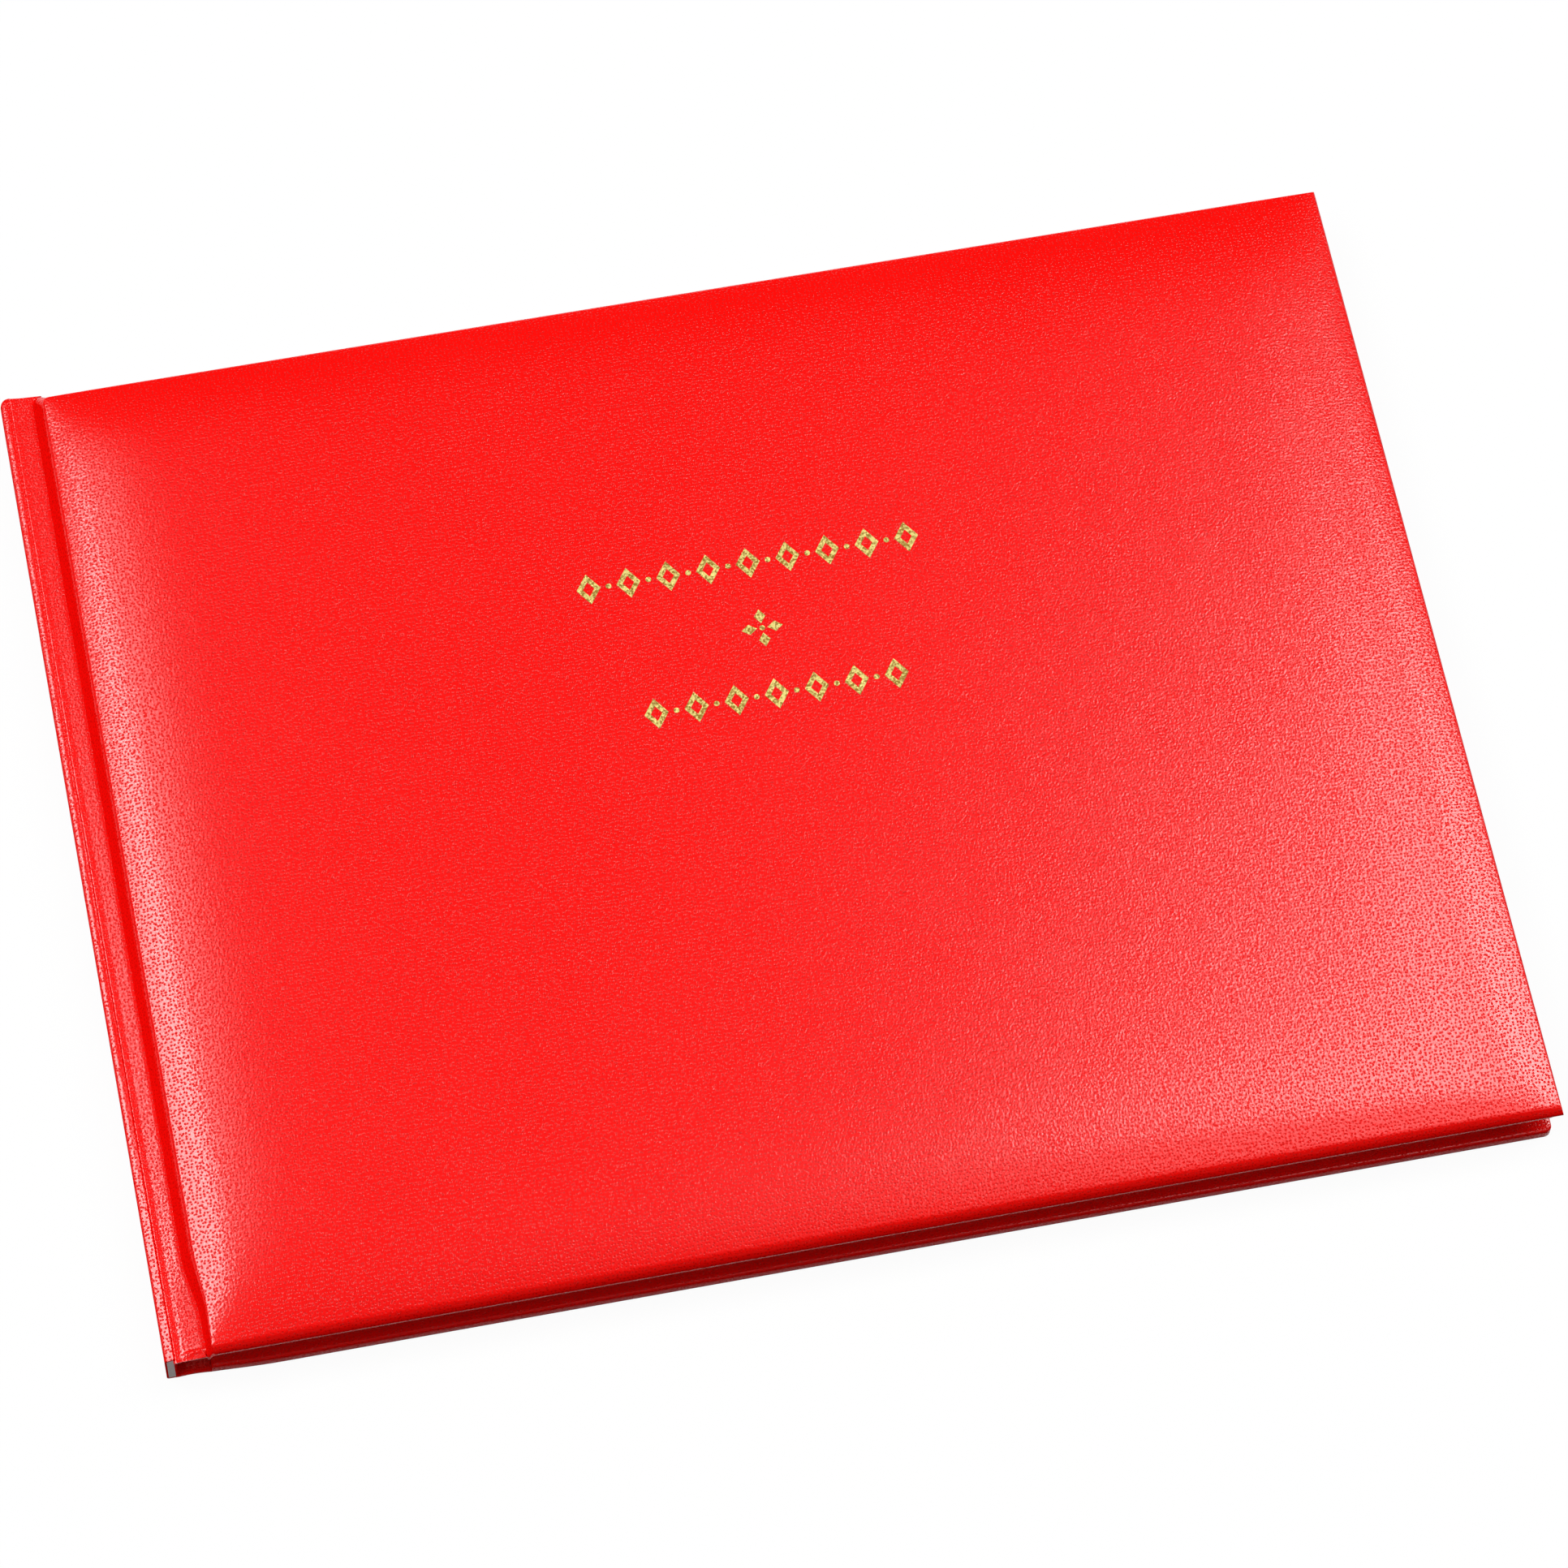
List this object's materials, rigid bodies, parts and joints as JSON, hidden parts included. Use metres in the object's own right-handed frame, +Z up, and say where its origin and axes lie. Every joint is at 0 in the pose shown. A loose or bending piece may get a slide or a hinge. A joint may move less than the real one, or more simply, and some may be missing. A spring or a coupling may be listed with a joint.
{
  "type": "address book",
  "caption": "Landscape case-bound address book: padded red leatherette covers hinged at a spine, leaves with a stepped letter index, foil ornament on the front.",
  "frame": {"origin": "centre of the back cover's outer face, at the middle of the closed book's outline", "axes": "+X from the spine to the fore edge, +Y from tail to head, +Z up out of the front cover"},
  "size_m": [0.203, 0.156, 0.0112],
  "materials": {
    "leatherette": "glossy pebbled",
    "board": "grey board",
    "foam": "soft foam",
    "gauze": "glued gauze",
    "endpaper": "matte",
    "paper": "matte",
    "gold_foil": "stamped foil"
  },
  "bodies": {
    "spine": {"spine_inlay": "board", "spine_wrap": "leatherette", "spine_lining": "gauze", "front_joint": "leatherette", "back_joint": "leatherette"},
    "back_cover": {"back_board": "board", "back_wrap": "leatherette", "back_pastedown": "endpaper"},
    "front_cover": {"front_board": "board", "front_pad": "foam", "front_wrap": "leatherette", "front_pastedown": "endpaper", "foil_ornament": "gold_foil"},
    "front_flyleaf": {"front_flyleaf": "endpaper"},
    "leaves_ab": {"leaves_ab": "paper"},
    "leaves_cd": {"leaves_cd": "paper"},
    "leaves_ef": {"leaves_ef": "paper"},
    "leaves_gh": {"leaves_gh": "paper"},
    "leaves_ij": {"leaves_ij": "paper"},
    "leaves_kl": {"leaves_kl": "paper"},
    "leaves_mn": {"leaves_mn": "paper"},
    "leaves_op": {"leaves_op": "paper"},
    "leaves_qr": {"leaves_qr": "paper"},
    "leaves_st": {"leaves_st": "paper"},
    "leaves_uv": {"leaves_uv": "paper"},
    "leaves_wx": {"leaves_wx": "paper"},
    "leaves_yz": {"leaves_yz": "paper"},
    "back_flyleaf": {"back_flyleaf": "endpaper"}
  },
  "joints": [
    {"name": "back_cover_hinge", "type": "hinge", "parent": "spine", "child": "back_cover", "pos_m": [-0.099, 0, 0.0007], "axis": [0, 1, 0], "range_deg": [0, 180], "deforming": ["back_joint"]},
    {"name": "front_cover_hinge", "type": "hinge", "parent": "spine", "child": "front_cover", "pos_m": [-0.099, 0, 0.0065], "axis": [0, -1, 0], "range_deg": [0, 180], "deforming": ["front_joint"]},
    {"name": "front_flyleaf_turn", "type": "hinge", "parent": "spine", "child": "front_flyleaf", "pos_m": [-0.099, 0, 0.0065], "axis": [0, -1, 0], "range_deg": [0, 178.21]},
    {"name": "leaves_ab_turn", "type": "hinge", "parent": "spine", "child": "leaves_ab", "pos_m": [-0.099, 0, 0.0065], "axis": [0, -1, 0], "range_deg": [0, 177.59]},
    {"name": "leaves_cd_turn", "type": "hinge", "parent": "spine", "child": "leaves_cd", "pos_m": [-0.099, 0, 0.0065], "axis": [0, -1, 0], "range_deg": [0, 175.69]},
    {"name": "leaves_ef_turn", "type": "hinge", "parent": "spine", "child": "leaves_ef", "pos_m": [-0.099, 0, 0.0065], "axis": [0, -1, 0], "range_deg": [0, 172.54]},
    {"name": "leaves_gh_turn", "type": "hinge", "parent": "spine", "child": "leaves_gh", "pos_m": [-0.099, 0, 0.0065], "axis": [0, -1, 0], "range_deg": [0, 168.13]},
    {"name": "leaves_ij_turn", "type": "hinge", "parent": "spine", "child": "leaves_ij", "pos_m": [-0.099, 0, 0.0065], "axis": [0, -1, 0], "range_deg": [0, 162.46]},
    {"name": "leaves_kl_turn", "type": "hinge", "parent": "spine", "child": "leaves_kl", "pos_m": [-0.099, 0, 0.0065], "axis": [0, -1, 0], "range_deg": [0, 155.54]},
    {"name": "leaves_mn_turn", "type": "hinge", "parent": "spine", "child": "leaves_mn", "pos_m": [-0.099, 0, 0.0065], "axis": [0, -1, 0], "range_deg": [0, 27.55]},
    {"name": "leaves_op_turn", "type": "hinge", "parent": "spine", "child": "leaves_op", "pos_m": [-0.099, 0, 0.0065], "axis": [0, -1, 0], "range_deg": [0, 20.53]},
    {"name": "leaves_qr_turn", "type": "hinge", "parent": "spine", "child": "leaves_qr", "pos_m": [-0.099, 0, 0.0065], "axis": [0, -1, 0], "range_deg": [0, 14.59]},
    {"name": "leaves_st_turn", "type": "hinge", "parent": "spine", "child": "leaves_st", "pos_m": [-0.099, 0, 0.0065], "axis": [0, -1, 0], "range_deg": [0, 9.74]},
    {"name": "leaves_uv_turn", "type": "hinge", "parent": "spine", "child": "leaves_uv", "pos_m": [-0.099, 0, 0.0065], "axis": [0, -1, 0], "range_deg": [0, 5.95]},
    {"name": "leaves_wx_turn", "type": "hinge", "parent": "spine", "child": "leaves_wx", "pos_m": [-0.099, 0, 0.0065], "axis": [0, -1, 0], "range_deg": [0, 3.25]},
    {"name": "leaves_yz_turn", "type": "hinge", "parent": "spine", "child": "leaves_yz", "pos_m": [-0.099, 0, 0.0065], "axis": [0, -1, 0], "range_deg": [0, 1.63]},
    {"name": "back_flyleaf_turn", "type": "hinge", "parent": "spine", "child": "back_flyleaf", "pos_m": [-0.099, 0, 0.0065], "axis": [0, -1, 0], "range_deg": [0, 1.09]}
  ],
  "couplings": [
    {"joint": "front_flyleaf_turn", "follows": "front_cover_hinge", "ratio": 0.99},
    {"joint": "leaves_ab_turn", "follows": "front_cover_hinge", "ratio": 0.9865},
    {"joint": "leaves_cd_turn", "follows": "front_cover_hinge", "ratio": 0.976},
    {"joint": "leaves_ef_turn", "follows": "front_cover_hinge", "ratio": 0.9585},
    {"joint": "leaves_gh_turn", "follows": "front_cover_hinge", "ratio": 0.934},
    {"joint": "leaves_ij_turn", "follows": "front_cover_hinge", "ratio": 0.9025},
    {"joint": "leaves_kl_turn", "follows": "front_cover_hinge", "ratio": 0.864},
    {"joint": "leaves_mn_turn", "follows": "front_cover_hinge", "ratio": 0.153},
    {"joint": "leaves_op_turn", "follows": "front_cover_hinge", "ratio": 0.114},
    {"joint": "leaves_qr_turn", "follows": "front_cover_hinge", "ratio": 0.081},
    {"joint": "leaves_st_turn", "follows": "front_cover_hinge", "ratio": 0.054},
    {"joint": "leaves_uv_turn", "follows": "front_cover_hinge", "ratio": 0.033},
    {"joint": "leaves_wx_turn", "follows": "front_cover_hinge", "ratio": 0.018},
    {"joint": "leaves_yz_turn", "follows": "front_cover_hinge", "ratio": 0.009},
    {"joint": "back_flyleaf_turn", "follows": "front_cover_hinge", "ratio": 0.006}
  ]
}
